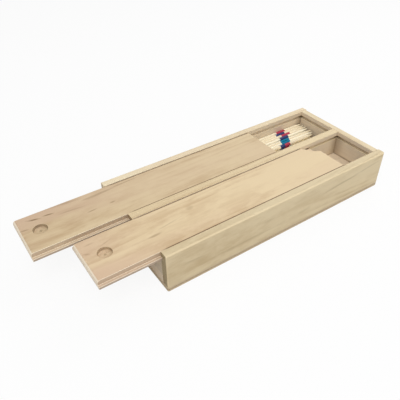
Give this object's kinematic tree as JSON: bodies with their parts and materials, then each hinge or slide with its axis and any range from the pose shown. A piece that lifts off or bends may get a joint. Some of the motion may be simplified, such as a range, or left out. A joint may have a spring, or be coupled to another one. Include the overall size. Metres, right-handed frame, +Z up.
{
  "type": "sliding lid game box",
  "caption": "Long pine game box: side-by-side compartments under separate sliding lids with finger recesses, partly drawn out over a heap of banded pick-up sticks.",
  "frame": {"origin": "centre of the box's underside, on the surface it stands on", "axes": "+X along the box towards the closed far end, so the lids draw out towards -X; +Y across, towards the compartment with the sticks; +Z up"},
  "size_m": [0.3056, 0.106, 0.036],
  "materials": {
    "pine_wall": "sanded, unvarnished",
    "pine_lid": "sanded, unvarnished",
    "pine_floor": "sanded, unvarnished",
    "plywood": "sawn plywood",
    "stick": "smooth, with painted bands"
  },
  "bodies": {
    "box": {"bottom_panel": "plywood", "floor_board": "pine_floor", "front_wall": "pine_wall", "rear_wall": "pine_wall", "divider": "pine_wall", "far_end_wall": "pine_wall", "front_near_end_wall": "pine_wall", "rear_near_end_wall": "pine_wall", "stick_01": "stick", "stick_02": "stick", "stick_03": "stick", "stick_04": "stick", "stick_05": "stick", "stick_06": "stick", "stick_07": "stick", "stick_08": "stick", "stick_09": "stick", "stick_10": "stick", "stick_11": "stick", "stick_12": "stick", "stick_13": "stick", "stick_14": "stick", "stick_15": "stick", "stick_16": "stick", "stick_17": "stick", "stick_18": "stick", "stick_19": "stick", "stick_20": "stick", "stick_21": "stick", "stick_22": "stick", "stick_23": "stick", "stick_24": "stick", "stick_25": "stick", "stick_26": "stick", "stick_27": "stick", "stick_28": "stick", "stick_29": "stick", "stick_30": "stick", "stick_31": "stick", "stick_32": "stick", "stick_33": "stick", "stick_34": "stick", "stick_35": "stick", "stick_36": "stick", "stick_37": "stick", "stick_38": "stick", "stick_39": "stick", "stick_40": "stick", "stick_41": "stick"},
    "front_lid": {"front_lid": "pine_lid"},
    "rear_lid": {"rear_lid": "pine_lid"}
  },
  "joints": [
    {"name": "front_lid_slide", "type": "slide", "parent": "box", "child": "front_lid", "axis": [1, 0, 0], "range_m": [-0.1799, 0.037]},
    {"name": "rear_lid_slide", "type": "slide", "parent": "box", "child": "rear_lid", "axis": [1, 0, 0], "range_m": [-0.1463, 0.0706]}
  ]
}
